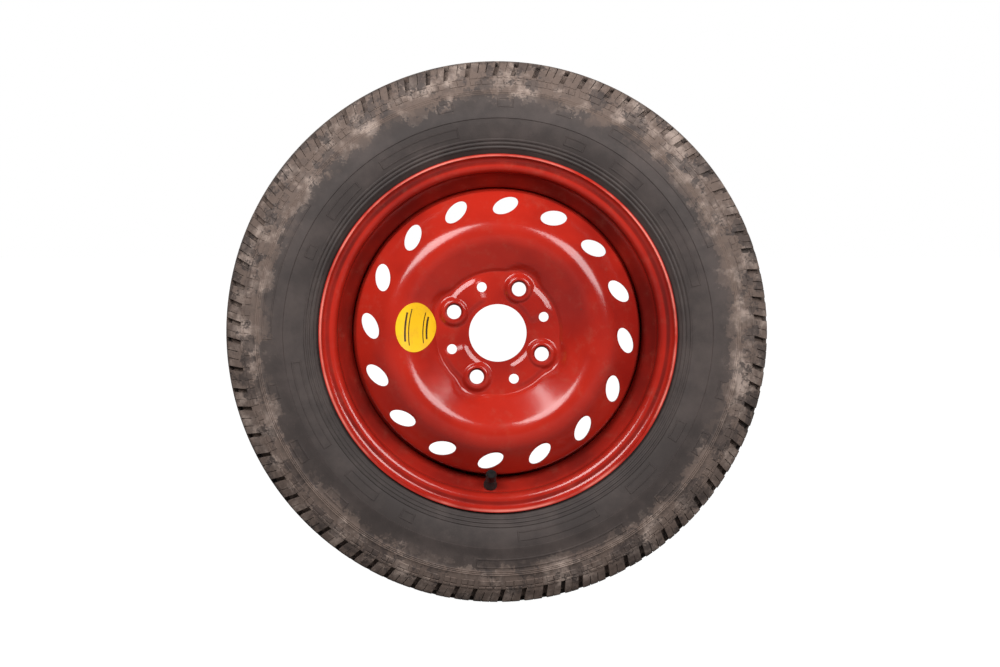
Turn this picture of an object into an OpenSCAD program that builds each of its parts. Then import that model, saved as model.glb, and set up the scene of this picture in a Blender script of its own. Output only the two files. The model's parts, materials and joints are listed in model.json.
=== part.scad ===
// Space saver spare wheel: a narrow tyre on a red pressed steel wheel.
// Each piece is drawn about the local axis z, which points to the street side,
// and on_axle() lays that axis along -Y with the valve near the bottom.

/* [Tyre] */
// Outer diameter of the tyre
tyre_d = 551; // [545:1:560]
// Width of the tyre at its widest
tyre_w = 135; // [130:1:140]
// Width of the tread between its two shoulders
tread_w = 104; // [98:1:108]
// Thickness under the tread, grooves included
tread_t = 12; // [11:0.5:14]
// Thickness of the side walls
sidewall_t = 6; // [5:0.5:7]
// Depth of the grooves in the tread
groove_depth = 5.5; // [4:0.5:7]
// Width of the grooves that run round the tread
groove_w = 6; // [4:0.5:8]
// Number of blocks round each shoulder
block_n = 74; // [60:1:80]
// Width of the notches in the shoulders
notch_w = 5; // [3:0.5:6]
// Width of a bead on its seat
bead_w = 13; // [12:0.5:14]

/* [Rim] */
// Diameter at the bead seats
seat_d = 329.4; // [327:0.2:332]
// Width between the flanges
rim_w = 101.6; // [99:0.2:104]
// Thickness of the rim strip
rim_t = 2.5; // [2:0.1:3]
// Height of a flange above its bead seat
flange_h = 15.3; // [14:0.1:17]
// Radius of the curl of a flange
curl_r = 9; // [8:0.5:10]
// Depth of the well below the bead seats
well_depth = 15; // [14:0.5:17]
// Width of the floor of the well
well_w = 40; // [36:1:42]
// Distance from the street side flange to the well floor
well_inset = 25.8; // [24:0.2:28]

/* [Disc] */
// Thickness of the disc
disc_t = 3.5; // [3:0.1:4]
// Distance from the middle of the rim to the mounting face
offset = 41; // [39:0.5:43]
// Diameter of the centre bore
bore_d = 58.1; // [56:0.1:60]
// Diameter of the flat hub pad
pad_d = 126; // [124:1:130]
// Distance from the wall of the disc in to its crown
crown_w = 39.45; // [36:0.05:42]
// Height of the disc's shoulder above the floor of the well
shoulder_h = 14.05; // [12:0.05:16]
// Angle of the slope from the crown down to the wall
outer_slope = 40; // [38:1:42]
// Rounding of the crown
crown_round = 24; // [20:1:28]
// Gap between the wall of the disc and the well
wall_gap = 3.7; // [3:0.1:4.5]
// Length of the flange that is welded into the well
weld_flange = 22; // [18:1:24]

/* [Bolts and locating holes] */
// Diameter of the bolt circle
bolt_circle_d = 98; // [96:0.5:100]
// Diameter of a bolt hole at its throat
bolt_hole_d = 14; // [13:0.1:15]
// Diameter of a bolt seat at its mouth
bolt_seat_d = 18.3; // [17:0.1:20]
// Full angle of the cone that a bolt seats on
bolt_cone_angle = 60; // [60, 90]
// Diameter of a locating hole
locating_d = 10; // [9:0.1:11]
// Angle of the first bolt hole, as seen from the street
bolt_start = 64.3; // [54:0.1:74]
// Diameter of the clearing round a bolt for its socket
socket_d = 41; // [38:0.5:43]
// Height of the raised stretches of the pad
plateau_h = 3; // [2:0.1:3.5]
// Height of a bolt boss
boss_h = 4.2; // [3.6:0.1:5]

/* [Vents] */
// Number of vents
vent_n = 16; // [12:1:18]
// Distance from the wall of the disc in to the circle of the vents
vent_inset = 14.95; // [13.5:0.05:16]
// Length of a vent
vent_l = 27.2; // [24:0.1:30]
// Width of a vent as seen along the axle
vent_w = 14.9; // [12:0.1:16]
// Slant of a vent against the circle
vent_slant = 27; // [15:1:35]
// Angle of the first vent
vent_start = 19.15; // [10:0.05:30]

/* [Valve] */
// Direction of the valve, as seen from the street
valve_angle = 267.3; // [260:0.1:280]
// Diameter of the hole in the rim
valve_hole_d = 11.5; // [11.3:0.1:11.7]
// Length of the rubber body outside the rim
valve_out = 9.5; // [9:0.5:11]
// Length of the rubber body inside the tyre
valve_in = 13; // [11:0.5:14]
// Diameter of the foot of the rubber body
valve_foot_d = 17.5; // [16:0.5:19]
// Diameter of the stem thread
stem_d = 7.7; // [7.4:0.1:8]
// Length of the stem above the rubber
stem_l = 7.5; // [7:0.5:8.5]
// Travel of the cap for each turn
thread_pitch = 0.794; // [0.7:0.001:0.9]
// Outer diameter of the cap
cap_d = 10.8; // [10.4:0.1:11.4]
// Height of the cap
cap_h = 11.2; // [10.8:0.1:12.4]
// Number of ribs round the cap
cap_rib_n = 24; // [18:1:30]
// Diameter of the core barrel at its thread
core_d = 5.2; // [5:0.1:5.4]
// Diameter of the core pin
pin_d = 1; // [0.8:0.1:1.2]
// Travel of the core pin
pin_travel = 1.5; // [1:0.1:1.8]
// Diameter of the wire of the core spring
wire_d = 0.3; // [0.25:0.05:0.35]

/* [Label] */
// Diameter of the label
label_d = 49; // [44:0.5:52]
// Direction of the label, as seen from the street
label_angle = 175.7; // [170:0.1:180]
// Thickness of the label
label_t = 0.2; // [0.1:0.05:0.3]

/* [Hidden] */
$fn = 96;
SEAT_GAP = 0.1;
FIT_GAP = 0.05;
RUN_GAP = 0.08;
LABEL_UP = 24;

function polar(r, a) = [r * cos(a), r * sin(a)];
function unit(v) = v / norm(v);
function left_of(v) = [-v[1], v[0]];
function turn_of(a, b, c) = let (u = unit(b - a), v = unit(c - b))
    atan2(u[0] * v[1] - u[1] * v[0], u * v);

// One corner of a path, given as [x, y, rounding], drawn at a distance to the left of the path.
// The rounding belongs to the path itself, so a strip keeps its thickness round a bend.
function bend(a, b, c, shift) = let (
        p0 = [a[0], a[1]], p1 = [b[0], b[1]], p2 = [c[0], c[1]],
        u = unit(p1 - p0), v = unit(p2 - p1),
        turn = turn_of(p0, p1, p2),
        side = sign(turn),
        reach = b[2] * tan(abs(turn) / 2),
        start = p1 - u * reach,
        centre = start + left_of(u) * side * b[2],
        radius = b[2] - side * shift,
        first = atan2(-left_of(u)[1] * side, -left_of(u)[0] * side),
        steps = max(2, ceil(abs(turn) / 9)))
    b[2] == 0 ? [p1 + shift * (left_of(u) + left_of(v)) / (1 + u * v)]
              : [for (i = [0:steps]) centre + polar(radius, first + turn * i / steps)];

// All points of a path at a distance to its left.
function trace(path, shift = 0) = let (
        n = len(path) - 1,
        first = [path[0][0], path[0][1]], second = [path[1][0], path[1][1]],
        last = [path[n][0], path[n][1]], before = [path[n - 1][0], path[n - 1][1]])
    concat([first + left_of(unit(second - first)) * shift],
           [for (i = [1:n - 1]) each bend(path[i - 1], path[i], path[i + 1], shift)],
           [last + left_of(unit(last - before)) * shift]);

function back_to_front(list) = [for (i = [len(list) - 1:-1:0]) list[i]];

// A strip of even thickness along a path, to the left of it.
function strip(path, t) = concat(trace(path), back_to_front(trace(path, t)));

function bezier(a, b, c, d, n) = [for (i = [0:n]) let (s = i / n)
    a * pow(1 - s, 3) + 3 * b * s * pow(1 - s, 2) + 3 * c * s * s * (1 - s) + d * pow(s, 3)];

// The rim, in [radius, z], from the far flange to the street side one. The path is its tyre side.
seat_r = seat_d / 2;
half_rim = rim_w / 2;
flange_r = seat_r + flange_h;
well_r = seat_r - well_depth;
well_top = half_rim - well_inset;
well_bottom = well_top - well_w;
SEAT_TAPER = 5;
SEAT_W = 13.8;
HEEL_R = 5;
WELL_R = 5;
HUMP_R = 4;
hump_r = seat_r - SEAT_W * tan(SEAT_TAPER);
hump_z = half_rim - SEAT_W;
well_inner_r = well_r - rim_t;
curl_z = half_rim + curl_r;
curl_centre_r = flange_r - curl_r;

function curl(side) = [for (a = [180:-12:84])
    [curl_centre_r + curl_r * sin(a), side * (curl_z + curl_r * cos(a)), 0]];

rim_path = concat(
    back_to_front(curl(-1)),
    [[seat_r, -half_rim, HEEL_R], [hump_r, -hump_z, HUMP_R], [well_r, well_bottom, WELL_R],
     [well_r, well_top, WELL_R], [hump_r, hump_z, HUMP_R], [seat_r, half_rim, HEEL_R]],
    curl(1));

// The disc, in [radius, z], from the bore out. The path is its street side.
pad_z = offset + disc_t;
pad_r = pad_d / 2;
disc_outer_r = well_inner_r - FIT_GAP;
wall_r = disc_outer_r - wall_gap;
crown_r = wall_r - crown_w;
shoulder_z = well_top + shoulder_h;
crown_top = shoulder_z + crown_w * tan(outer_slope);
inner_slope = atan2(crown_top - pad_z, crown_r - pad_r);
inner_slope_l = norm([crown_top - pad_z, crown_r - pad_r]);
PAD_ROUND = 6;
SHOULDER_ROUND = 7;
// The crown's rounding is held back where the slope beside it is too short for it.
crown_bend = (inner_slope + outer_slope) / 2;
crown_fillet = min(crown_round,
    0.9 * (inner_slope_l - PAD_ROUND * tan(inner_slope / 2)) / tan(crown_bend),
    0.9 * (crown_w / cos(outer_slope) - SHOULDER_ROUND) / tan(crown_bend));
cut_h = 2 * crown_top;
flange_start = well_top - 8;
flange_end = flange_start - weld_flange + 3;
disc_path = [
    [bore_d / 2 - 6, pad_z, 0],
    [pad_r, pad_z, PAD_ROUND],
    [crown_r, crown_top, crown_fillet],
    [wall_r, shoulder_z, SHOULDER_ROUND],
    [wall_r, flange_start + 7, 6],
    [disc_outer_r, flange_start, 6],
    [disc_outer_r, flange_end, 0]];
WELD_N = 8;
WELD_SPAN = 24;
WELD_R = 3;

// Holes and pressed shapes of the hub pad
hole_r = bolt_circle_d / 2;
bolt_angles = [for (i = [0:3]) bolt_start + 90 * i];
locating_angles = [for (i = [0:3]) bolt_start - 45 + 90 * i];
bolt_seat_h = (bolt_seat_d - bolt_hole_d) / 2 / tan(bolt_cone_angle / 2);
PRESS_SLOPE = 1.5;
PLATEAU_W = 21;
plateau_r = hole_r - 2.5;
boss_r = bolt_seat_d / 2 + 1.2;
BOSS_FOOT = 3.5;
BOSS_THICKER = 0.9;
LOBE_WIDER = 0.5;
LOBE_LOWER = 0.2;
SOCKET_LIFT = 0.2;

// The tyre, in [radius, z]
tyre_r = tyre_d / 2;
half_tyre = tyre_w / 2;
half_tread = tread_w / 2;
SHOULDER_DROP = 4.5;
SHOULDER_H = 8;
SHOULDER_W = 5;
BUTTRESS = 8;
NOTCH_H = 13;
RIDGE_N = 3;
RIDGE_H = 0.8;
RIDGE_HALF = 1.35;
RIDGE_PITCH = 3.8;
RIDGE_START = 6.2;
shoulder_r = tyre_r - SHOULDER_DROP;
bead_r = seat_r + SEAT_GAP;
bead_z = half_rim - SEAT_GAP;
toe_z = half_rim - bead_w;
toe_r = bead_r - bead_w * tan(SEAT_TAPER);
inner_r = tyre_r - tread_t;
GROOVE_N = 3;
groove_gap = tread_w / 4.4;

// The tread blocks have three lengths, given as shares. Their order is a short motif
// that moves on by MOTIF_SHIFT places each time it has run through, so it never repeats evenly.
PITCH_SHARE = [4.05, 4.8, 6.2];
PITCH_MOTIF = [0, 2, 1, 0, 0, 2, 1];
MOTIF_SHIFT = 2;
NOTCH_START = 3;
function block_share(i) = let (n = len(PITCH_MOTIF))
    PITCH_SHARE[PITCH_MOTIF[(i + MOTIF_SHIFT * floor(i / n)) % n]];
function share_to(i) = i == 0 ? 0 : share_to(i - 1) + block_share(i - 1);
pitch_sum = share_to(block_n);
notch_angles = [for (i = [0:block_n - 1]) NOTCH_START + share_to(i) * 360 / pitch_sum];

// The valve stands square on the street side slope of the well.
// Its heights are measured outward from the axle side of the rim.
SEAT_SHARE = 0.52;
slope_foot = [well_r, well_top];
slope_run = [hump_r, hump_z] - slope_foot;
slope_normal = left_of(unit(slope_run));
valve_foot = slope_foot + slope_run * SEAT_SHARE + slope_normal * rim_t;
valve_tilt = atan2(slope_normal[0], slope_normal[1]);
RUBBER_GAP = 0.3;
stem_top = valve_out + stem_l;
stem_r = stem_d / 2;
stem_foot_r = stem_r - 0.7;
cap_foot = valve_out + RUBBER_GAP;
cap_top = cap_foot + cap_h;
SEAL_T = 1;
seal_z = stem_top + FIT_GAP;
cap_roof = seal_z + SEAL_T + FIT_GAP;
cap_thread_r = stem_r + RUN_GAP;
RIB_DEPTH = 0.35;

// The valve core hangs in the top of the stem.
core_r = core_d / 2;
core_top = stem_top - 0.6;
CORE_THREAD_L = 5;
CORE_BODY_L = 6;
GASKET_L = 1.8;
core_foot = core_top - CORE_THREAD_L - GASKET_L - CORE_BODY_L;
core_body_r = core_r - 0.9;
gasket_foot = core_top - CORE_THREAD_L - GASKET_L;
pin_r = pin_d / 2;
PIN_UP = 0.4;
pin_top = core_top + PIN_UP;
CUP_T = 1;
cup_r = core_body_r - 0.05;
spring_r = core_body_r - 0.45 - wire_d / 2 - RUN_GAP;
spring_foot = core_foot + 1;
spring_top = gasket_foot + GASKET_L;
SPRING_TURNS = 7;
air_r = core_body_r + 0.15;

module on_axle() rotate([90, 0, 0]) children();

// Places a piece drawn along +z, from the rim outward, where the valve stands.
module at_valve() {
    on_axle()
        rotate([0, 0, valve_angle])
        translate([valve_foot[0], 0, valve_foot[1]])
        rotate([0, valve_tilt, 0])
        children();
}

// A turned piece from its outline in [radius, height].
module turned(outline) rotate_extrude() polygon(outline);

module at_polar(r, a) rotate([0, 0, a]) translate([r, 0, 0]) children();

module rim() {
    color("firebrick")
        difference() {
            on_axle() turned(strip(rim_path, rim_t));
            at_valve() translate([0, 0, -3 * rim_t]) cylinder(d = valve_hole_d, h = 5 * rim_t);
        }
}

// The hub pad's raised stretches, each from a locating hole round to the next bolt.
module plateaus(shift) {
    low = pad_z + shift - 1;
    high = pad_z + shift + plateau_h;
    half_w = PLATEAU_W / 2;
    foot_w = half_w + PRESS_SLOPE * (1 + 1 / plateau_h);
    for (a = locating_angles) {
        rotate_extrude(angle = 45, start = a)
            polygon([[plateau_r - foot_w, low], [plateau_r + foot_w, low],
                     [plateau_r + half_w, high], [plateau_r - half_w, high]]);
        at_polar(plateau_r, a)
            translate([0, 0, low])
            cylinder(r1 = foot_w + LOBE_WIDER, r2 = half_w + LOBE_WIDER, h = high - low - LOBE_LOWER);
    }
}

module bosses(shift, height) {
    for (a = bolt_angles)
        at_polar(hole_r, a)
            translate([0, 0, pad_z + shift - 1])
            cylinder(r1 = boss_r + BOSS_FOOT * (1 + 1 / boss_h), r2 = boss_r, h = height + 1);
}

// All that lies under one face of the disc: the street face, or the back at -disc_t.
module under_disc(shift) {
    low = flange_end + (shift < 0 ? -1 : 0);
    line = trace(disc_path, shift);
    inner = line[0][0];
    outer = line[len(line) - 1][0];
    difference() {
        turned(concat(line, [[outer, low], [inner, low]]));
        for (a = bolt_angles)
            at_polar(hole_r, a)
                translate([0, 0, pad_z + shift + SOCKET_LIFT])
                cylinder(d = socket_d - 2 * shift, h = cut_h);
    }
    plateaus(shift);
    bosses(shift, shift < 0 ? boss_h - BOSS_THICKER : boss_h);
}

module vents() {
    oval = [for (i = [0:35]) [vent_w / 2 * cos(10 * i), vent_l / 2 * sin(10 * i)]];
    for (i = [0:vent_n - 1])
        at_polar(wall_r - vent_inset, vent_start + 360 / vent_n * i)
            rotate([0, 0, vent_slant])
            linear_extrude(height = cut_h) polygon(oval);
}

module welds() {
    for (i = [0:WELD_N - 1])
        rotate_extrude(angle = WELD_SPAN, start = 360 / WELD_N * i)
            polygon([[disc_outer_r, flange_end + 1], [disc_outer_r, flange_end - WELD_R],
                     [disc_outer_r - WELD_R, flange_end + 1]]);
}

module wheel_disc() {
    color("firebrick")
        on_axle() {
            difference() {
                under_disc(0);
                under_disc(-disc_t);
                cylinder(d = bore_d, h = cut_h);
                vents();
                for (a = bolt_angles)
                    at_polar(hole_r, a) {
                        cylinder(d = bolt_hole_d, h = cut_h);
                        translate([0, 0, pad_z + boss_h - bolt_seat_h])
                            cylinder(d1 = bolt_hole_d, d2 = bolt_seat_d + (bolt_seat_d - bolt_hole_d) / bolt_seat_h,
                                     h = bolt_seat_h + 1);
                    }
                for (a = locating_angles)
                    at_polar(hole_r, a) cylinder(d = locating_d, h = cut_h);
            }
            welds();
        }
}

// A raised ring of the side wall, as [radius, height over the wall].
function ridge(r) = [[r - RIDGE_HALF, 0], [r - RIDGE_HALF / 2, RIDGE_H],
                     [r + RIDGE_HALF / 2, RIDGE_H], [r + RIDGE_HALF, 0]];

// Half of the tyre's section, street side: outside from the toe to the middle of the tread.
function tyre_outside() = let (
        leave = 130,
        p0 = [curl_centre_r + (curl_r + SEAT_GAP) * sin(leave),
              curl_z + (curl_r + SEAT_GAP) * cos(leave)],
        p3 = [shoulder_r - SHOULDER_H, half_tread + SHOULDER_W],
        bulge = (half_tyre - (p0[1] + p3[1]) / 8) / 0.75,
        wall = bezier(p0, [flange_r + 10, bulge], [tyre_r - 37, bulge], p3, 20),
        ridge_foot = flange_r + RIDGE_START,
        ridge_end = ridge_foot + (RIDGE_N - 1) * RIDGE_PITCH + RIDGE_HALF)
    concat(
        trace([[toe_r + 3, toe_z, 0], [toe_r, toe_z, 1], [bead_r, bead_z, HEEL_R + 0.5],
               [curl_centre_r, bead_z, 0]]),
        [for (a = [170:-10:leave + 10]) [curl_centre_r + (curl_r + SEAT_GAP) * sin(a),
                                         curl_z + (curl_r + SEAT_GAP) * cos(a)]],
        [for (p = wall) if (p[0] < ridge_foot - RIDGE_HALF - 1) p],
        [for (i = [0:RIDGE_N - 1]) each [for (q = ridge(ridge_foot + i * RIDGE_PITCH))
            [q[0], lookup(q[0], wall) + q[1]]]],
        [for (p = wall) if (p[0] > ridge_end + 1) p],
        bezier([shoulder_r, half_tread], [shoulder_r + 2, half_tread * 0.7],
               [tyre_r, half_tread * 0.35], [tyre_r, 0], 5));

function tyre_inside() = let (
        p0 = [flange_r - 2, toe_z + 6],
        p3 = [inner_r - 6, half_tread - BUTTRESS],
        bulge = (half_tyre - sidewall_t - (p0[1] + p3[1]) / 8) / 0.75)
    concat(
        [[toe_r + 6, toe_z + 1]],
        bezier(p0, [flange_r + 8, bulge], [tyre_r - 36, bulge], p3, 16),
        [[inner_r - 1.5, half_tread * 0.6], [inner_r, 0]]);

function mirrored(points) = [for (p = back_to_front(points)) if (p[1] > 0) [p[0], -p[1]]];

module tread_cutter() {
    edge = groove_gap + groove_w / 2 - 1;
    translate([0, notch_w / 2, 0])
        rotate([90, 0, 0])
        linear_extrude(height = notch_w)
        polygon([[tyre_r - groove_depth, edge], [shoulder_r - groove_depth, half_tread - 3],
                 [shoulder_r - NOTCH_H, half_tread + 2], [shoulder_r - NOTCH_H, half_tyre],
                 [tyre_r + 5, half_tyre], [tyre_r + 5, edge]]);
}

module tyre() {
    outside = tyre_outside();
    inside = tyre_inside();
    color("dimgray")
        on_axle()
        difference() {
            rotate_extrude()
                difference() {
                    polygon(concat(outside, mirrored(outside),
                                   back_to_front(concat(inside, mirrored(inside)))));
                    for (i = [0:GROOVE_N - 1])
                        translate([tyre_r - groove_depth,
                                   (i - (GROOVE_N - 1) / 2) * groove_gap - groove_w / 2])
                            square([groove_depth + 5, groove_w]);
                }
            for (a = notch_angles)
                rotate([0, 0, a]) {
                    tread_cutter();
                    mirror([0, 0, 1]) tread_cutter();
                }
        }
}

module valve_body() {
    throat = valve_hole_d / 2 - FIT_GAP;
    foot = -rim_t - FIT_GAP;
    color("#1c1c1c")
        at_valve()
        turned([[stem_foot_r + FIT_GAP, -valve_in], [6, -valve_in], [valve_foot_d / 2, foot - 4.5],
                [valve_foot_d / 2, foot - 2.5], [throat + 0.3, foot], [throat, foot],
                [throat, RUBBER_GAP], [6.9, RUBBER_GAP], [6.9, 2], [5.6, valve_out - 3],
                [5.2, valve_out], [stem_foot_r + FIT_GAP, valve_out]]);
}

module valve_stem() {
    color("goldenrod")
        at_valve()
        turned([[air_r, -valve_in], [stem_foot_r, -valve_in], [stem_foot_r, valve_out],
                [stem_r - 0.3, valve_out], [stem_r, valve_out + 0.4], [stem_r, stem_top - 0.5],
                [stem_r - 0.5, stem_top], [core_r + 0.3, stem_top], [core_r + FIT_GAP, stem_top - 0.3],
                [core_r + FIT_GAP, gasket_foot + GASKET_L], [air_r, gasket_foot]]);
}

module core_barrel() {
    bore = spring_r + wire_d / 2 + RUN_GAP;
    neck = gasket_foot + GASKET_L;
    color("gold")
        at_valve()
        difference() {
            turned([[pin_r + RUN_GAP, core_foot], [core_body_r, core_foot],
                    [core_body_r, neck], [core_r, neck], [core_r, core_top],
                    [pin_r + RUN_GAP, core_top], [pin_r + RUN_GAP, spring_top + 0.6],
                    [bore, spring_top + 0.6], [bore, spring_foot - 0.05],
                    [pin_r + RUN_GAP, spring_foot - 0.05]]);
            for (side = [-1, 1])
                translate([side * core_d * 0.6, 0, core_top - 2])
                    translate([-core_d * 0.36, -core_d, 0])
                    cube([core_d * 0.5, 2 * core_d, 3]);
        }
}

module core_gasket() {
    color("white")
        at_valve()
        turned([[core_body_r + FIT_GAP, gasket_foot + 0.2], [core_body_r + 0.1, gasket_foot + 0.2],
                [core_r - 0.05, gasket_foot + GASKET_L - FIT_GAP],
                [core_body_r + FIT_GAP, gasket_foot + GASKET_L - FIT_GAP]]);
}

module core_pin() {
    color("gold")
        at_valve()
        turned([[0, core_foot - 2.2], [cup_r, core_foot - 2.2], [cup_r, core_foot - CUP_T - 0.1],
                [pin_r, core_foot - CUP_T - 0.1], [pin_r, spring_top - 0.4],
                [spring_r, spring_top - 0.4], [spring_r, spring_top + 0.1], [pin_r, spring_top + 0.1],
                [pin_r, pin_top], [0, pin_top]]);
}

module core_cup() {
    color("black")
        at_valve()
        turned([[pin_r + FIT_GAP, core_foot - CUP_T - 0.05], [cup_r, core_foot - CUP_T - 0.05],
                [cup_r, core_foot - 0.05], [pin_r + FIT_GAP, core_foot - 0.05]]);
}

// A coil spring of round wire, swept as one closed skin.
module coil(r, wire, low, high, turns) {
    steps = 14 * turns;
    sides = 8;
    points = [for (i = [0:steps]) let (a = 360 * turns * i / steps, z = low + (high - low) * i / steps)
        for (k = [0:sides - 1]) let (b = 360 * k / sides)
            [(r + wire / 2 * cos(b)) * cos(a), (r + wire / 2 * cos(b)) * sin(a), z + wire / 2 * sin(b)]];
    skin = [for (i = [0:steps - 1], k = [0:sides - 1]) let (next = (k + 1) % sides)
        [i * sides + k, (i + 1) * sides + k, (i + 1) * sides + next, i * sides + next]];
    ends = [[for (k = [0:sides - 1]) k], [for (k = [sides - 1:-1:0]) steps * sides + k]];
    polyhedron(points, concat(skin, ends));
}

module core_spring() {
    color("silver")
        at_valve()
        coil(spring_r, wire_d, spring_foot + wire_d / 2, spring_top - 0.45 - wire_d / 2, SPRING_TURNS);
}

module valve_cap() {
    ribbed = [for (i = [0:4 * cap_rib_n - 1]) let (r = cap_d / 2 - (i % 4 < 2 ? 0 : RIB_DEPTH))
        polar(r, 90 * i / cap_rib_n)];
    color("#151515")
        at_valve()
        difference() {
            union() {
                translate([0, 0, cap_foot + 1]) linear_extrude(height = cap_h - 2) polygon(ribbed);
                translate([0, 0, cap_foot])
                    cylinder(r1 = cap_d / 2 - RIB_DEPTH - 0.3, r2 = cap_d / 2 - RIB_DEPTH, h = 1);
                translate([0, 0, cap_top - 1])
                    cylinder(r1 = cap_d / 2 - RIB_DEPTH, r2 = cap_d / 2 - 1.2, h = 1);
            }
            translate([0, 0, cap_foot - 1]) cylinder(r = cap_thread_r, h = cap_roof - cap_foot + 1);
            translate([0, 0, cap_top - 0.6]) cylinder(r1 = 1.4, r2 = 2, h = 1);
        }
}

module cap_seal() {
    color("dimgray")
        at_valve()
        turned([[1.2, seal_z], [stem_r - 0.1, seal_z], [stem_r - 0.1, seal_z + SEAL_T],
                [1.2, seal_z + SEAL_T]]);
}

module round_label() {
    middle = [pad_r, pad_z] + unit([crown_r - pad_r, crown_top - pad_z]) * LABEL_UP;
    color("gold")
        on_axle()
        intersection() {
            turned(concat(trace(disc_path, FIT_GAP), back_to_front(trace(disc_path, FIT_GAP + label_t))));
            rotate([0, 0, label_angle])
                translate([middle[0], 0, middle[1]])
                rotate([0, -inner_slope, 0])
                translate([0, 0, -label_d / 2]) cylinder(d = label_d, h = label_d);
        }
}

rim();
wheel_disc();
tyre();
valve_body();
valve_stem();
core_barrel();
core_gasket();
core_pin();
core_cup();
core_spring();
valve_cap();
cap_seal();
round_label();
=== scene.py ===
"""The looks of a space saver spare wheel: a dusty narrow tyre on a glossy red steel wheel.

The wheel stands upright and turns about Y, with its street side towards -Y. Outlines are drawn
in millimetres, as (radius, distance to the street side), and meshes and materials in metres.
"""

import json
import logging
import math
from collections.abc import Callable, Iterator
from contextlib import contextmanager
from dataclasses import dataclass, field
from enum import Enum
from typing import NamedTuple

import bpy
from mathutils import Matrix, Vector

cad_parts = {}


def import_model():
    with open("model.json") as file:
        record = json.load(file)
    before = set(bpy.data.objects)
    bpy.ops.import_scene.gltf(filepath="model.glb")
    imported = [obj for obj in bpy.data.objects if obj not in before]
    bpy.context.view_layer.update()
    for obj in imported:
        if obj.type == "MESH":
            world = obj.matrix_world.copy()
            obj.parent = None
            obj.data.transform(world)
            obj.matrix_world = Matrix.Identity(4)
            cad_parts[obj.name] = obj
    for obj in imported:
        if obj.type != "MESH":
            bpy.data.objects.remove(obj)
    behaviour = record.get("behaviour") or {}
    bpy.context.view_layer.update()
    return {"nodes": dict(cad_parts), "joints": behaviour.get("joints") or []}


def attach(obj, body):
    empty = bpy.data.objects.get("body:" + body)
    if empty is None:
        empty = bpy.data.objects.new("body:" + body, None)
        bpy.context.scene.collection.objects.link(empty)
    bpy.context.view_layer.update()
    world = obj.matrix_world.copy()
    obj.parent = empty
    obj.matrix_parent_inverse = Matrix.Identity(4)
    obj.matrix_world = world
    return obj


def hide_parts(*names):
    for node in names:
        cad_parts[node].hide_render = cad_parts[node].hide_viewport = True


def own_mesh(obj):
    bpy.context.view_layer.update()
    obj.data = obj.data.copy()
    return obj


log = logging.getLogger("spare_wheel")
MM = 0.001
FULL_TURN = 360.0
MERGE_DISTANCE = 1e-6
AXLE = (0.0, 1.0, 0.0)
WHEEL_BODY = "wheel"
Object, Material = bpy.types.Object, bpy.types.Material
Tree, Socket = bpy.types.NodeTree, bpy.types.NodeSocket
Point = tuple[float, float]
Corner = tuple[float, float, float]
Band = tuple[float, float, float, float]
Colour = tuple[float, float, float, float]
WHITE: Colour = (1.0, 1.0, 1.0, 1.0)
# The disc's street face from the foot of its inner slope to its wall, as (radius, out, rounding).
DISC_FACE: tuple[Corner, ...] = ((62.2, 44.5, 2), (65.6, 47.6, 2.5), (104, 72.16, 24), (143.45, 39.05, 7))


class Block(Enum):
    """A tread block's length, as its share of the way round."""

    SHORT = 4.05
    MIDDLE = 4.8
    LONG = 6.2


def deselect() -> None:
    """Deselects every object."""
    bpy.ops.object.select_all(action="DESELECT")


def activate(obj: Object) -> None:
    """Selects one object alone and makes it the active one.

    Args:
        obj: the object to select.
    """
    deselect()
    obj.select_set(True)
    bpy.context.view_layer.objects.active = obj


@contextmanager
def editing(obj: Object) -> Iterator[None]:
    """Holds an object in edit mode while the block under it runs.

    Args:
        obj: the object to edit.

    Yields:
        Nothing, once the object is in edit mode.
    """
    activate(obj)
    bpy.ops.object.mode_set(mode="EDIT")
    yield
    bpy.ops.object.mode_set(mode="OBJECT")


def apply_modifiers(obj: Object) -> None:
    """Applies each modifier of an object, from the first on.

    Args:
        obj: the object whose modifiers are applied.
    """
    activate(obj)
    for name in [modifier.name for modifier in obj.modifiers]:
        bpy.ops.object.modifier_apply(modifier=name)


def smooth(obj: Object, angle: float) -> None:
    """Shades an object smooth, apart from edges sharper than an angle in degrees."""
    activate(obj)
    bpy.ops.object.shade_smooth_by_angle(angle=math.radians(angle))


def flip(obj: Object) -> None:
    """Turns all of an object's faces the other way.

    Args:
        obj: the object to flip.
    """
    with editing(obj):
        bpy.ops.mesh.select_all(action="SELECT")
        bpy.ops.mesh.flip_normals()


def cut_away(obj: Object, cutter: Object) -> None:
    """Cuts one object's space out of another and deletes the cutter.

    Args:
        obj: the object that is cut.
        cutter: a closed object.
    """
    modifier = obj.modifiers.new("cut", "BOOLEAN")
    modifier.operation, modifier.solver, modifier.object = "DIFFERENCE", "EXACT", cutter
    apply_modifiers(obj)
    bpy.data.objects.remove(cutter)


def joined(objects: list[Object], name: str) -> Object:
    """Joins objects into one.

    Args:
        objects: the objects, the first of which stays.
        name: its new name.

    Returns:
        The joined object.
    """
    deselect()
    for obj in objects:
        obj.select_set(True)
    bpy.context.view_layer.objects.active = objects[0]
    bpy.ops.object.join()
    objects[0].name = name
    return objects[0]


def step_up(value: float, low: float, high: float) -> float:
    """Returns 0 under low, 1 over high and a smooth step between."""
    share = min(1.0, max(0.0, (value - low) / (high - low)))
    return share * share * (3 - 2 * share)


def polar(radius: float, degrees: float) -> Point:
    """Returns the point at a radius and an angle from the first axis."""
    return radius * math.cos(math.radians(degrees)), radius * math.sin(math.radians(degrees))


def wheel_place(vertex: Vector) -> tuple[float, float, float]:
    """Returns a place as (radius, angle in degrees seen from the street, distance to the street)."""
    return math.hypot(vertex.x, vertex.z), math.degrees(math.atan2(vertex.z, vertex.x)), -vertex.y


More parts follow.
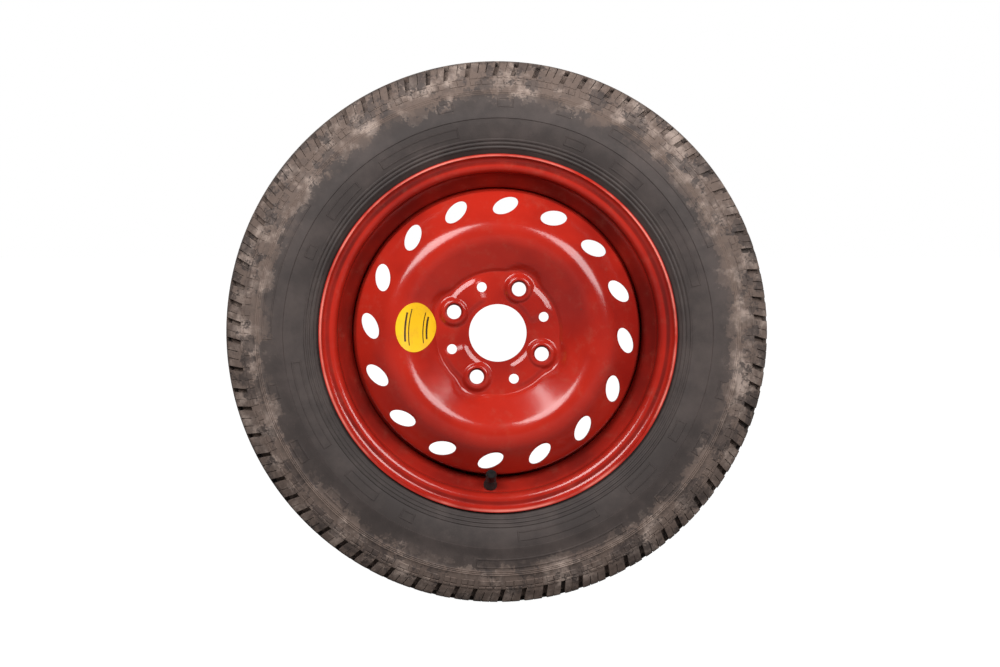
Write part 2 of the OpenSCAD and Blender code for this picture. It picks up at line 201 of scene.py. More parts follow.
def from_wheel(radius: float, degrees: float, out: float) -> Vector:
    """Returns the point at a radius, an angle seen from the street and a distance to the street."""
    x, z = polar(radius, degrees)
    return Vector((x, -out, z))


def arc(centre: Point, radius: float, first: float, last: float, steps: int) -> list[Point]:
    """Returns points along an arc.

    Args:
        centre: the arc's centre.
        radius: its radius.
        first: the angle at its start, in degrees.
        last: the angle at its end.
        steps: how many stretches it has.

    Returns:
        steps + 1 points.
    """
    points = []
    for i in range(steps + 1):
        x, y = polar(radius, first + (last - first) * i / steps)
        points.append((centre[0] + x, centre[1] + y))
    return points


def bezier(a: Point, b: Point, c: Point, d: Point, steps: int) -> list[Point]:
    """Returns points along a cubic curve from a to d, led by b and c.

    Args:
        a: the start.
        b: the first handle.
        c: the second handle.
        d: the end.
        steps: how many stretches the curve has.

    Returns:
        steps + 1 points.
    """
    points = []
    for i in range(steps + 1):
        s = i / steps
        weights = ((1 - s) ** 3, 3 * s * (1 - s) ** 2, 3 * s * s * (1 - s), s**3)
        points.append(tuple(sum(w * p[k] for w, p in zip(weights, (a, b, c, d))) for k in (0, 1)))
    return points


def rounded(path: list[Corner], step: float) -> list[Point]:
    """Returns a path with its corners rounded.

    Args:
        path: corners as (x, y, rounding).
        step: the angle that each stretch of a rounding turns, in degrees.

    Returns:
        The points of the path.
    """
    points = [path[0][:2]]
    for (ax, ay, _), (bx, by, rounding), (cx, cy, _) in zip(path, path[1:], path[2:]):
        u = Vector((bx - ax, by - ay)).normalized()
        v = Vector((cx - bx, cy - by)).normalized()
        turn = math.degrees(math.atan2(u.cross(v), u.dot(v)))
        if rounding == 0 or abs(turn) < 0.5:
            points.append((bx, by))
            continue
        side = math.copysign(1, turn)
        start = Vector((bx, by)) - u * rounding * math.tan(math.radians(abs(turn)) / 2)
        centre = start + Vector((-u.y, u.x)) * side * rounding
        first = math.degrees(math.atan2(start.y - centre.y, start.x - centre.x))
        steps = max(2, math.ceil(abs(turn) / step))
        points += arc(tuple(centre), rounding, first, first + turn, steps)
    points.append(path[-1][:2])
    return points


def mirrored(path: list[Point]) -> list[Point]:
    """Returns a path as it lies on the other side of the wheel, from its last point to its first."""
    return [(radius, -out) for radius, out in reversed(path)]


def out_at(path: list[Point], radius: float) -> float:
    """Returns how far out a path stands at a radius.

    Args:
        path: points whose radius grows.
        radius: the radius.

    Returns:
        The distance out, which past the path is that of its last point.
    """
    for (r0, z0), (r1, z1) in zip(path, path[1:]):
        if r0 <= radius <= r1:
            return z0 + (z1 - z0) * (radius - r0) / (r1 - r0)
    return path[-1][1]


def strip_outline(path: list[Point], thickness: float) -> list[Point]:
    """Returns the outline of a strip of even thickness to the left of a path.

    Args:
        path: the points of one face of the strip.
        thickness: the strip's thickness.

    Returns:
        The path, and then the other face from its last point to its first.
    """
    other = []
    for i, (x, y) in enumerate(path):
        before, after = Vector(path[max(i - 1, 0)]), Vector(path[min(i + 1, len(path) - 1)])
        here = Vector((x, y))
        run_in = (here - before).normalized() if i else (after - here).normalized()
        run_out = (after - here).normalized() if i < len(path) - 1 else run_in
        normal = Vector((-(run_in + run_out).y, (run_in + run_out).x)).normalized()
        reach = thickness / max(0.5, normal.dot(Vector((-run_in.y, run_in.x))))
        other.append((x + normal.x * reach, y + normal.y * reach))
    return path + other[::-1]


def open_loop(obj: Object) -> None:
    """Deletes the edge that joins a loop's last vertex to its first.

    Args:
        obj: an object that is one loop of edges.
    """
    with editing(obj):
        bpy.ops.mesh.select_all(action="DESELECT")
    last = len(obj.data.vertices) - 1
    for edge in obj.data.edges:
        edge.select = set(edge.vertices) == {0, last}
    with editing(obj):
        bpy.ops.mesh.select_mode(type="EDGE")
        bpy.ops.mesh.delete(type="EDGE")
        bpy.ops.mesh.select_mode(type="VERT")


def turned(
    name: str, outline: list[Point], steps: int, closed: bool = True, degrees: float = FULL_TURN
) -> Object:
    """Turns an outline about the wheel's axle.

    Args:
        name: the new object's name.
        outline: its points, in millimetres.
        steps: how many stretches the turn has.
        closed: whether the outline's last point joins its first.
        degrees: how far it is turned. Short of a full turn, the ends are closed.

    Returns:
        The turned object, with its place in its mesh.
    """
    deselect()
    fill = "NOTHING" if degrees == FULL_TURN else "NGON"
    bpy.ops.mesh.primitive_circle_add(vertices=len(outline), fill_type=fill)
    obj = bpy.context.object
    obj.name = name
    for vertex, (radius, out) in zip(obj.data.vertices, outline):
        vertex.co = (radius * MM, -out * MM, 0.0)
    if not closed:
        open_loop(obj)
    with editing(obj):
        bpy.ops.mesh.select_all(action="SELECT")
        bpy.ops.mesh.spin(steps=steps, angle=math.radians(degrees), center=(0, 0, 0), axis=AXLE)
        bpy.ops.mesh.select_all(action="SELECT")
        bpy.ops.mesh.remove_doubles(threshold=MERGE_DISTANCE)
        bpy.ops.mesh.normals_make_consistent(inside=False)
    return obj


def inset_faces(obj: Object, faces: list[int], inset: float, depth: float) -> None:
    """Insets stretches of faces, each as one region, and lifts or sinks them.

    Args:
        obj: the object to shape.
        faces: the indexes of its faces.
        inset: how far the new edge lies from the old, in millimetres.
        depth: how far the faces rise, or sink where it is negative.
    """
    with editing(obj):
        bpy.ops.mesh.select_mode(type="FACE")
        bpy.ops.mesh.select_all(action="DESELECT")
    chosen = set(faces)
    flags = [index in chosen for index in range(len(obj.data.polygons))]
    obj.data.polygons.foreach_set("select", flags)
    with editing(obj):
        bpy.ops.mesh.inset(thickness=inset * MM, depth=depth * MM, use_even_offset=True)
        bpy.ops.mesh.select_mode(type="VERT")


def srgb(red: int, green: int, blue: int) -> Colour:
    """Returns a screen colour, 0 to 255, as linear light with full alpha."""
    shares = (red / 255, green / 255, blue / 255)
    return (*(s / 12.92 if s <= 0.04045 else ((s + 0.055) / 1.055) ** 2.4 for s in shares), 1.0)


@dataclass
class NodeKit:
    """A node tree, with short ways to add and join its nodes."""

    tree: Tree

    def add(self, kind: str, **values: object) -> bpy.types.Node:
        """Adds a node and sets its properties.

        Args:
            kind: the node's type.
            values: its properties by name.

        Returns:
            The node.
        """
        node = self.tree.nodes.new(kind)
        for key, value in values.items():
            setattr(node, key, value)
        return node

    def feed(self, socket: Socket, value: object) -> None:
        """Joins a socket to another, or sets its value.

        Args:
            socket: the input.
            value: the output that it is joined to, or a plain value.
        """
        if isinstance(value, Socket):
            self.tree.links.new(value, socket)
        else:
            socket.default_value = value

    def feed_all(self, node: bpy.types.Node, inputs: dict[str, object]) -> None:
        """Feeds inputs, given by name with an underscore for a space, as values or sockets."""
        for key, value in inputs.items():
            self.feed(node.inputs[key.replace("_", " ")], value)

    def group(self, tree: Tree, **inputs: object) -> Socket:
        """Places a node group.

        Args:
            tree: the group.
            inputs: its inputs, as feed_all takes them.

        Returns:
            The group's only output.
        """
        node = self.add("ShaderNodeGroup", node_tree=tree)
        self.feed_all(node, inputs)
        return node.outputs[0]

    def maths(self, operation: str, a: object, b: object = 0.0, clamp: bool = False) -> Socket:
        """Adds a Math node.

        Args:
            operation: what it does.
            a: its first value or socket.
            b: its second.
            clamp: whether its result is kept between 0 and 1.

        Returns:
            Its output.
        """
        node = self.add("ShaderNodeMath", operation=operation, use_clamp=clamp)
        self.feed(node.inputs[0], a)
        self.feed(node.inputs[1], b)
        return node.outputs[0]

    def plus(self, a: object, b: object, clamp: bool = False) -> Socket:
        """Returns the sum of two values, which may be kept between 0 and 1."""
        return self.maths("ADD", a, b, clamp)

    def times(self, a: object, b: object) -> Socket:
        """Returns the product of two values."""
        return self.maths("MULTIPLY", a, b)

    def less(self, a: object, b: object) -> Socket:
        """Returns the first value less the second."""
        return self.maths("SUBTRACT", a, b)

    def ramp(self, value: object, low: float, high: float) -> Socket:
        """Adds a smooth step.

        Args:
            value: what is read.
            low: where the step starts.
            high: where it ends.

        Returns:
            0 where the value is under low, 1 where it is over high, and a smooth step between.
        """
        node = self.add("ShaderNodeMapRange", interpolation_type="SMOOTHSTEP")
        self.feed_all(node, {"Value": value, "From_Min": low, "From_Max": high})
        return node.outputs["Result"]

    def band(self, value: object, edges: Band) -> Socket:
        """Returns 1 between the middle two of four edges, 0 outside them all, and smooth steps."""
        return self.times(self.ramp(value, *edges[:2]), self.less(1.0, self.ramp(value, *edges[2:])))

    def mix(self, factor: object, a: object, b: object) -> Socket:
        """Mixes two colours.

        Args:
            factor: 0 for the first, 1 for the second.
            a: the first colour.
            b: the second colour.

        Returns:
            The mixed colour.
        """
        node = self.add("ShaderNodeMix", data_type="RGBA")
        for index, value in ((0, factor), (6, a), (7, b)):
            self.feed(node.inputs[index], value)
        return node.outputs[2]

    def place(self) -> Socket:
        """Returns Object coordinates."""
        return self.add("ShaderNodeTexCoord").outputs["Object"]

    def noise(
        self, scale: object, detail: float = 3.0, rough: float = 0.55, vector: object = None
    ) -> Socket:
        """Adds a noise on Object coordinates.

        Args:
            scale: waves to the metre.
            detail: how many finer waves are added.
            rough: how strong those are.
            vector: another place to read it at.

        Returns:
            Its value, about 0.5 in the middle.
        """
        node = self.add("ShaderNodeTexNoise")
        inputs = {"Scale": scale, "Detail": detail, "Roughness": rough}
        self.feed_all(node, {**inputs, "Vector": vector or self.place()})
        return node.outputs["Fac"]

    def bump(
        self, height: object, distance: float, strength: float, normal: object = None
    ) -> Socket:
        """Adds a Bump node.

        Args:
            height: the height's socket.
            distance: what a height of 1 stands for, in metres.
            strength: its share.
            normal: a normal to start from.

        Returns:
            The bumped normal.
        """
        node = self.add("ShaderNodeBump")
        self.feed_all(node, {"Distance": distance, "Strength": strength, "Height": height})
        if normal:
            self.feed(node.inputs["Normal"], normal)
        return node.outputs["Normal"]


class Finish(NodeKit):
    """A material that is being built on its Principled shader."""

    def __init__(self, name: str) -> None:
        """Makes the material.

        Args:
            name: its name.
        """
        self.material = bpy.data.materials.new(name)
        self.material.use_nodes = True
        super().__init__(self.material.node_tree)

    def shade(self, **inputs: object) -> Material:
        """Feeds the shader's inputs, as feed_all takes them, and returns the material."""
        self.feed_all(self.tree.nodes["Principled BSDF"], inputs)
        return self.material


class Mask(NodeKit):
    """A node group that is being built: a place and some numbers go in, and one mask comes out."""

    def __init__(self, name: str, result: str, **numbers: float) -> None:
        """Makes the group with its sockets.

        Args:
            name: the group's name.
            result: the name of what comes out.
            numbers: the default of each number that goes in.
        """
        super().__init__(bpy.data.node_groups.new(name, "ShaderNodeTree"))
        face = self.tree.interface
        face.new_socket("Vector", in_out="INPUT", socket_type="NodeSocketVector")
        for key, value in numbers.items():
            face.new_socket(key, in_out="INPUT", socket_type="NodeSocketFloat").default_value = value
        face.new_socket(result, in_out="OUTPUT", socket_type="NodeSocketFloat")
        self.given = self.add("NodeGroupInput").outputs
        self.sink = self.add("NodeGroupOutput").inputs[0]

    def give(self, value: Socket) -> Tree:
        """Sends the mask out and returns the finished group."""
        self.feed(self.sink, value)
        return self.tree


class SharedGroups:
    """Node groups that more than one finish uses, each built once."""

    def __init__(self) -> None:
        """Builds the groups."""
        self.radius = self.build_radius()
        self.patches = self.build_patches()

    @staticmethod
    def build_radius() -> Tree:
        """Builds the group that gives the distance from the axle.

        Returns:
            The group, with Radius in metres.
        """
        kit = Mask("distance_from_axle", "Radius")
        split = kit.add("ShaderNodeSeparateXYZ")
        kit.feed(split.inputs[0], kit.given["Vector"])
        x, z = split.outputs["X"], split.outputs["Z"]
        return kit.give(kit.maths("SQRT", kit.plus(kit.times(x, x), kit.times(z, z))))

    @staticmethod
    def build_patches() -> Tree:
        """Builds the group that gives uneven patches with crisp and soft stretches of edge.

        Returns:
            The group, with Patches from 0 to 1.
        """
        kit = Mask("patches", "Patches", Scale=20.0, Cover=0.5, Edge=0.06)
        vector = kit.given["Vector"]
        large = kit.noise(kit.given["Scale"], 4.0, 0.62, vector)
        fine = kit.noise(420.0, 3.0, 0.6, vector)
        height = kit.plus(large, kit.times(kit.less(fine, 0.5), 0.22))
        level = kit.plus(kit.times(kit.less(1.0, kit.given["Cover"]), 0.5), 0.25)
        step = kit.maths("DIVIDE", kit.less(height, level), kit.given["Edge"])
        return kit.give(kit.plus(step, 0.5, clamp=True))


@dataclass(frozen=True)
class GlossRed:
    """Sprayed red enamel on steel, with painted shade and grime in the well and the flange groove, a painted
    highlight on the lip, dark chips and dust.

    The bands are radii in metres.
    """

    base: Colour = srgb(176, 38, 25)
    dull: Colour = srgb(140, 27, 20)
    chip: Colour = srgb(58, 30, 26)
    dust: Colour = srgb(150, 118, 100)
    # Painted shade with some grime, darkening the well wall and the flange groove all round.
    grime_and_painted_shade: Colour = srgb(72, 20, 18)
    # Painted highlight on the flange lip.
    lip_highlight_colour: Colour = srgb(236, 132, 118)
    # The well and groove bands carry painted shade with grime; the lip band carries a painted highlight.
    well_shade_and_grime_band: Band = (0.1445, 0.149, 0.157, 0.167)
    groove_shade_and_grime_band: Band = (0.1685, 0.1705, 0.1722, 0.1745)
    lip_highlight_band: Band = (0.1765, 0.1779, 0.1786, 0.1796)
    least_grime_and_shade: float = 0.38
    more_grime_and_shade: float = 0.35
    lip_highlight_share: float = 0.85
    dusting: float = 0.12
    roughness: float = 0.17
    peel_depth: float = 0.00016
    chip_depth: float = 0.0001

    def build(self, groups: SharedGroups) -> Material:
        """Makes the material.

        Args:
            groups: the shared node groups.

        Returns:
            The material.
        """
        kit = Finish("gloss_red_enamel")
        place = kit.place()
        radius = kit.group(groups.radius, Vector=place)
        colour = kit.mix(kit.ramp(kit.noise(9.0, 4.0), 0.35, 0.7), self.base, self.dull)
        uneven = kit.ramp(kit.noise(16.0, 4.0), 0.3, 0.7)
        grime_and_shade_share = kit.plus(self.least_grime_and_shade, kit.times(uneven, self.more_grime_and_shade))
        # Painted shade with some grime: the well wall and the flange groove are darkened in uneven patches.
        for band in (self.well_shade_and_grime_band, self.groove_shade_and_grime_band):
            colour = kit.mix(kit.times(kit.band(radius, band), grime_and_shade_share), colour, self.grime_and_painted_shade)
        # Painted highlight: the lip's band is lightened in patches.
        worn = kit.times(kit.band(radius, self.lip_highlight_band), kit.ramp(kit.noise(12.0, 4.0, 0.6), 0.36, 0.62))
        colour = kit.mix(kit.times(worn, self.lip_highlight_share), colour, self.lip_highlight_colour)
        chips = kit.group(groups.patches, Vector=place, Scale=95.0, Cover=0.06, Edge=0.012)
        chips = kit.times(chips, kit.ramp(kit.noise(14.0, 2.0), 0.55, 0.62))
        colour = kit.mix(chips, colour, self.chip)
        dusty = kit.times(kit.ramp(kit.noise(60.0, 5.0, 0.7), 0.5, 0.8), self.dusting)
        colour = kit.mix(dusty, colour, self.dust)
        rough = kit.plus(kit.times(kit.noise(45.0, 4.0), 0.1), self.roughness - 0.05)
        rough = kit.plus(rough, kit.times(chips, 0.4))
        peel = kit.bump(kit.noise(170.0, 2.0), self.peel_depth, 0.3)
        normal = kit.bump(kit.less(1.0, chips), self.chip_depth, 0.6, peel)
        return kit.shade(Base_Color=colour, Roughness=rough, Normal=normal, Specular_IOR_Level=0.45)


@dataclass(frozen=True)
class DustyRubber:
    """Tyre rubber: brown black, with pale dust on the tread and the upper side wall.

    The radii are in metres.
    """

    clean: Colour = srgb(54, 47, 45)
    worn: Colour = srgb(71, 62, 59)
    dust: Colour = srgb(160, 143, 133)
    mud: Colour = srgb(106, 91, 83)
    wash: float = 0.214
    shoulder: float = 0.243
    rings: tuple[float, float] = (0.2387, 0.2438)
    ring_edge: float = 0.0002
    ring_pitch: float = 0.0017
    ring_crest_lightening: float = 0.5
    patch_dust: float = 0.6
    fleck_dust: float = 0.28
    even_dust: float = 0.14
    grain_depth: float = 0.00025

    def ring_crests(self, kit: Finish, radius: Socket) -> Socket:
        """Masks the crests of the fine rings on the side wall, which are lightened toward the dust colour.

        Args:
            kit: the material being built.
            radius: the distance from the axle.

        Returns:
            The mask, from 0 to 1.
        """
        inner, outer = self.rings
        edge, half = self.ring_edge, self.ring_pitch / 2
        ringed = kit.band(radius, (inner - edge, inner + edge, outer - edge, outer + edge))
        crest = kit.maths("PINGPONG", kit.less(radius, inner), half)
        return kit.times(ringed, kit.maths("DIVIDE", crest, half))

    def build(self, groups: SharedGroups) -> Material:
        """Makes the material.

        Args:
            groups: the shared node groups.

        Returns:
            The material.
        """
        kit = Finish("dusty_tyre_rubber")
        place = kit.place()
        radius = kit.group(groups.radius, Vector=place)
        colour = kit.mix(kit.ramp(kit.noise(22.0, 5.0, 0.65), 0.35, 0.7), self.clean, self.worn)
        high = kit.ramp(radius, self.wash, self.shoulder)
        cover = kit.plus(kit.times(high, 0.46), 0.1)
        patches = kit.group(groups.patches, Vector=place, Scale=34.0, Cover=cover, Edge=0.02)
        flecks = kit.group(groups.patches, Vector=place, Scale=110.0, Cover=cover, Edge=0.045)
        laid = kit.plus(kit.times(patches, self.patch_dust), kit.times(flecks, self.fleck_dust))
        laid = kit.plus(laid, kit.times(high, self.even_dust), clamp=True)
        amount = kit.times(laid, kit.plus(kit.times(high, 0.85), 0.06))
        # The fine rings' crests are lightened toward the dust colour all round.
        amount = kit.plus(amount, kit.times(self.ring_crests(kit, radius), self.ring_crest_lightening), clamp=True)
        tone = kit.mix(kit.ramp(kit.noise(38.0, 5.0, 0.65), 0.46, 0.68), self.mud, self.dust)
        colour = kit.mix(amount, colour, tone)
        rough = kit.plus(0.62, kit.times(amount, 0.3))
        grain = kit.bump(kit.noise(900.0, 4.0, 0.6), self.grain_depth, 0.5)
        return kit.shade(Base_Color=colour, Roughness=rough, Normal=grain, Specular_IOR_Level=0.3)


@dataclass(frozen=True)
class LabelPaper:
    """Glossy yellow sticker paper, a little soiled."""

    light: Colour = srgb(246, 192, 22)
    dark: Colour = srgb(214, 158, 24)
    roughness: float = 0.34
    grain_depth: float = 0.00004

    def build(self, groups: SharedGroups) -> Material:
        """Makes the material.

        Args:
            groups: the shared node groups.

        Returns:
            The material.
        """
        kit = Finish("sticker_yellow")
        soil = kit.group(groups.patches, Vector=kit.place(), Scale=60.0, Cover=0.3, Edge=0.2)
        colour = kit.mix(kit.times(soil, 0.5), self.light, self.dark)
        rough = kit.plus(self.roughness, kit.times(soil, 0.15))
        grain = kit.bump(kit.noise(420.0), self.grain_depth, 0.4)
        return kit.shade(Base_Color=colour, Roughness=rough, Normal=grain)


@dataclass(frozen=True)
class PlainFinish:
    """A small part's finish: an even colour that fine noise breaks up."""

    name: str
    light: Colour
    dark: Colour
    roughness: float
    metallic: float = 0.0
    grain: float = 300.0
    grain_depth: float = 0.00005

    def build(self) -> Material:
        """Makes the material.

        Returns:
            The material.
        """
        kit = Finish(self.name)
        speck = kit.noise(self.grain, 4.0)
        colour = kit.mix(kit.ramp(speck, 0.35, 0.7), self.light, self.dark)
        rough = kit.plus(self.roughness - 0.1, kit.times(speck, 0.2))
        grain = kit.bump(speck, self.grain_depth, 0.4)
        return kit.shade(Base_Color=colour, Roughness=rough, Metallic=self.metallic, Normal=grain)


FINE_GRAIN = 900.0
SMALL_FINISHES = {
    "valve_body": PlainFinish("valve_rubber", srgb(34, 32, 31), srgb(22, 20, 20), 0.6),
    "valve_stem": PlainFinish("turned_brass", srgb(196, 160, 92), srgb(150, 116, 62), 0.3, 1.0),
    "core_barrel": PlainFinish("core_brass", srgb(205, 170, 100), srgb(160, 126, 70), 0.3, 1.0, FINE_GRAIN),
    "core_gasket": PlainFinish("white_seal", srgb(225, 224, 220), srgb(200, 198, 192), 0.45),
    "core_pin": PlainFinish("pin_brass", srgb(210, 178, 110), srgb(170, 136, 78), 0.28, 1.0, FINE_GRAIN),
    "core_cup": PlainFinish("cup_rubber", srgb(30, 30, 30), srgb(18, 18, 18), 0.6),
    "core_spring": PlainFinish("spring_wire", srgb(190, 190, 188), srgb(140, 140, 140), 0.3, 1.0, FINE_GRAIN),
    "valve_cap": PlainFinish("cap_plastic", srgb(21, 20, 20), srgb(11, 11, 11), 0.36),
    "cap_seal": PlainFinish("seal_rubber", srgb(52, 50, 48), srgb(34, 33, 32), 0.6),
}
LABEL_INK = PlainFinish("sticker_ink", srgb(60, 32, 12), srgb(44, 24, 10), 0.45)


class FacePlace(NamedTuple):
    """Where a face of the tyre lies: its block, stretch of the block, radius and distance out."""

    block: int
    stretch: int
    radius: float
    out: float


@dataclass(frozen=True)
class BarRow:
    """A row of plain framed bars on a side wall, between two radii, on some of each few blocks."""

    low: float
    high: float
    repeat: int
    blocks: tuple[int, ...]

    def holds(self, face: FacePlace) -> bool:
        """Returns whether a face lies on a block that carries one of the bars."""
        return face.block % self.repeat in self.blocks


@dataclass
class Tyre:
    """The narrow tyre: side walls with raised rings and bricks, notched shoulders and a grooved tread."""

    blocks: int = 74
    motif: tuple[Block, ...] = (
        Block.SHORT, Block.LONG, Block.MIDDLE, Block.SHORT, Block.SHORT, Block.LONG, Block.MIDDLE)
    motif_shift: int = 2
    block_cuts: tuple[float, ...] = (0.0, 0.31, 0.345, 0.4825, 0.5175, 0.655, 0.69)
    first_notch: float = 3.0
    notch_turn: float = 1.07
    notch_depth: float = 5.0
    cut_depth: float = 2.6
    slant: float = 0.75
    slant_from: float = 270.0
    slant_run: float = 12.5
    crown: float = 275.5
    shoulder: Point = (271.0, 52.0)
    wall_top: Point = (263.0, 57.0)
    wall_foot: Point = (177.97, 53.95)
    wall_handles: tuple[Point, Point] = ((190.0, 71.51), (238.5, 71.51))
    bead: tuple[Point, ...] = (
        (166.6, 37.8), (164.0, 38.6), (164.8, 48.6), (167.0, 50.6), (171.6, 50.7), (174.2, 51.3))
    bead_ridges: tuple[float, ...] = (186.2, 190.0, 193.8)
    ridge_half: float = 1.35
    ridge_lift: float = 0.8
    belt: tuple[Point, ...] = ((214.8, 0.0), (215.4, 0.7), (218.4, 0.55), (221.0, 0.0))
    fine_rings: tuple[float, ...] = (239.5, 241.2, 242.9)
    fine_lift: float = 0.5
    fine_width: float = 0.85
    low_bricks: Point = (248.8, 254.2)
    high_bricks: Point = (255.2, 257.5)
    bar_rows: tuple[BarRow, ...] = (
        BarRow(199.0, 209.0, 18, (2, 3, 4, 5, 6, 9, 10, 13)),
        BarRow(226.0, 236.0, 25, (4, 5, 6, 7, 8, 9, 10, 11, 14, 17, 20)))
    shoulder_edge: tuple[Point, ...] = ((267.0, 54.7), (269.8, 52.9))
    side_out: float = 57.0
    groove_depth: float = 5.5
    groove_width: float = 6.0
    groove_pitch: float = 23.64
    groove_draft: float = 0.6
    rib_edge: float = 3.0
    stretches: int = field(init=False)
    pitches: list[Block] = field(init=False)
    wall: list[Point] = field(init=False)

    def __post_init__(self) -> None:
        """Lays out the side wall's curve and the blocks: a short motif that moves on each time round."""
        size = len(self.motif)
        self.pitches = [self.motif[(i + self.motif_shift * (i // size)) % size] for i in range(self.blocks)]
        self.stretches = len(self.block_cuts) + 1
        self.wall = bezier(self.wall_foot, *self.wall_handles, self.wall_top, 120)

    def on_wall(self, radius: float, lift: float = 0.0) -> Point:
        """Finds a point of the side wall.

        Args:
            radius: the distance from the axle.
            lift: how far the point is raised off the wall.

        Returns:
            The point.
        """
        slope = out_at(self.wall, radius + 0.5) - out_at(self.wall, radius - 0.5)
        length = math.hypot(1, slope)
        return radius - lift * slope / length, out_at(self.wall, radius) + lift / length

    def ridge(self, radius: float) -> list[Point]:
        """Returns a raised ring of the side wall, from its inner foot to its outer foot."""
        half, flat = self.ridge_half, self.ridge_half * 0.45
        return [self.on_wall(radius - half), self.on_wall(radius - flat, self.ridge_lift),
                self.on_wall(radius + flat, self.ridge_lift), self.on_wall(radius + half)]

    def side_outline(self) -> list[Point]:
        """Draws the street half of the outside.

        Returns:
            Its points, from the bead's toe to the middle of the tread.
        """
        low, high = self.bar_rows
        points = [*self.bead, self.on_wall(178.4), self.on_wall(184.4)]
        for radius in self.bead_ridges:
            points += self.ridge(radius)
        points += [self.on_wall(radius) for radius in (196.6, low.low, low.high, 212.2)]
        points += [self.on_wall(radius, lift) for radius, lift in self.belt]
        points += [self.on_wall(radius) for radius in (high.low, high.high, 238.7)]
        for radius in self.fine_rings:
            points += [self.on_wall(radius, self.fine_lift), self.on_wall(radius + self.fine_width)]
        points += [self.on_wall(radius) for radius in (246.4, *self.low_bricks, *self.high_bricks)]
        points += [(261.0, 58.6), self.wall_top, *self.shoulder_edge, self.shoulder, (271.6, 50.6)]
        return points + self.tread_outline()

    def tread_level(self, out: float) -> float:
        """Returns the tread's radius at a distance from the middle plane."""
        return self.crown - (self.crown - self.shoulder[0]) * (out / self.shoulder[1]) ** 2

    def tread_outline(self) -> list[Point]:
        """Draws the tread, with one and a half grooves.

        Returns:
            Its points, from the shoulder to the middle.
        """
        half, level = self.groove_width / 2, self.tread_level
        outer, inner = self.groove_pitch + half, self.groove_pitch - half
        points = [(level(out), out) for out in (44.0, 36.0, outer + self.rib_edge, outer)]
        points += [(level(outer) - self.groove_depth, outer - self.groove_draft),
                   (level(inner) - self.groove_depth, inner + self.groove_draft)]
        points += [(level(out), out) for out in (inner, 12.5, half)]
        return points + [(self.crown - self.groove_depth, half - self.groove_draft)]

    def inside_outline(self) -> list[Point]:
        """Returns the street half of the inside, from the middle out to the bead."""
        wall = bezier((257.5, 44.0), (239.5, 67.37), (188.0, 67.37), (178.0, 43.8), 4)
        return [(263.5, 14.0), (262.0, 31.2), *wall, (169.6, 38.8)]

    def build(self) -> Object:
        """Builds the tyre.

        Returns:
            The finished piece.
        """
        half, inside = self.side_outline(), self.inside_outline()
        steps = len(self.pitches) * self.stretches
        tyre = turned("tyre_rubber_shell", half + mirrored(half) + mirrored(inside) + inside, steps)
        faces = self.sort_faces(tyre, steps)
        self.set_angles(tyre, steps)
        self.shape_bricks(tyre, faces)
        self.shape_bars(tyre, faces)
        self.shape_tread(tyre, faces)
        smooth(tyre, 32.0)
        return tyre

    def sort_faces(self, tyre: Object, steps: int) -> list[FacePlace]:
        """Finds where the faces lie.

        Args:
            tyre: the turned tyre.
            steps: how many stretches it has all round.

        Returns:
            Each face's place.
        """
        places = []
        for face in tyre.data.polygons:
            radius, degrees, out = wheel_place(face.center)
            step = math.floor(degrees % FULL_TURN / FULL_TURN * steps)
            places.append(FacePlace(*divmod(step, self.stretches), radius / MM, out / MM))
        return places

    def stretch_starts(self) -> list[float]:
        """Works out the angle at which each stretch begins.

        Returns:
            The angles, in degrees.
        """
        whole = sum(block.value for block in self.pitches)
        at, starts = self.first_notch - self.notch_turn / 2, []
        for block in self.pitches:
            turn = FULL_TURN * block.value / whole
            starts.append(at)
            starts += [at + self.notch_turn + (turn - self.notch_turn) * cut for cut in self.block_cuts]
            at += turn
        return starts

    def set_angles(self, tyre: Object, steps: int) -> None:
        """Moves every vertex round to its stretch's own angle, with the slant of the shoulders.

        Args:
            tyre: the turned tyre.
            steps: how many stretches it has all round.
        """
        starts = self.stretch_starts()
        for vertex in tyre.data.vertices:
            radius, degrees, out = wheel_place(vertex.co)
            angle = starts[round(degrees / FULL_TURN * steps) % steps]
            lean = self.slant * min(1.0, max(0.0, (self.slant_from - radius / MM) / self.slant_run))
            vertex.co = from_wheel(radius, angle + lean, out)

    def cuts_of(self, face: FacePlace) -> tuple[int, ...]:
        """Returns the stretches of a face's block that hold a fine cut."""
        return (2, 6) if self.pitches[face.block] is Block.LONG else (4,)

    def on_side(self, face: FacePlace, low: float, high: float) -> bool:
        """Returns whether a face lies on the outside of a side wall, between two radii."""
        return low < face.radius < high and abs(face.out) > self.side_out

    def on_shoulder(self, face: FacePlace, low: float) -> bool:
        """Tells whether a face lies on the outside of a shoulder, over a radius.

        Args:
            face: where the face lies.
            low: the radius.

        Returns:
            Whether it does.
        """
        edge = self.groove_pitch + self.groove_width / 2 + self.rib_edge
        skin = face.radius > 266.0 or abs(face.out) > 53.0
        return face.radius > low and abs(face.out) > edge and skin

    @staticmethod
    def pick(faces: list[FacePlace], test: Callable[[FacePlace], bool]) -> list[int]:
        """Returns the indexes of the faces that pass a test."""
        return [index for index, face in enumerate(faces) if test(face)]

    def shape_bricks(self, tyre: Object, faces: list[FacePlace]) -> None:
        """Raises the two rows of bricks under the shoulder of either side.

        Args:
            tyre: the tyre.
            faces: where its faces lie.
        """
        def upper(face: FacePlace) -> bool:
            """Returns whether a face is part of a fine brick of the upper row."""
            return self.on_side(face, *self.high_bricks) and face.stretch not in (0, *self.cuts_of(face))

        def lower(face: FacePlace) -> bool:
            """Returns whether a face is part of a brick of the lower row."""
            return self.on_side(face, *self.low_bricks) and face.stretch not in (0, 4)

        inset_faces(tyre, self.pick(faces, upper), 0.3, 0.7)
        inset_faces(tyre, self.pick(faces, lower), 0.35, 0.7)

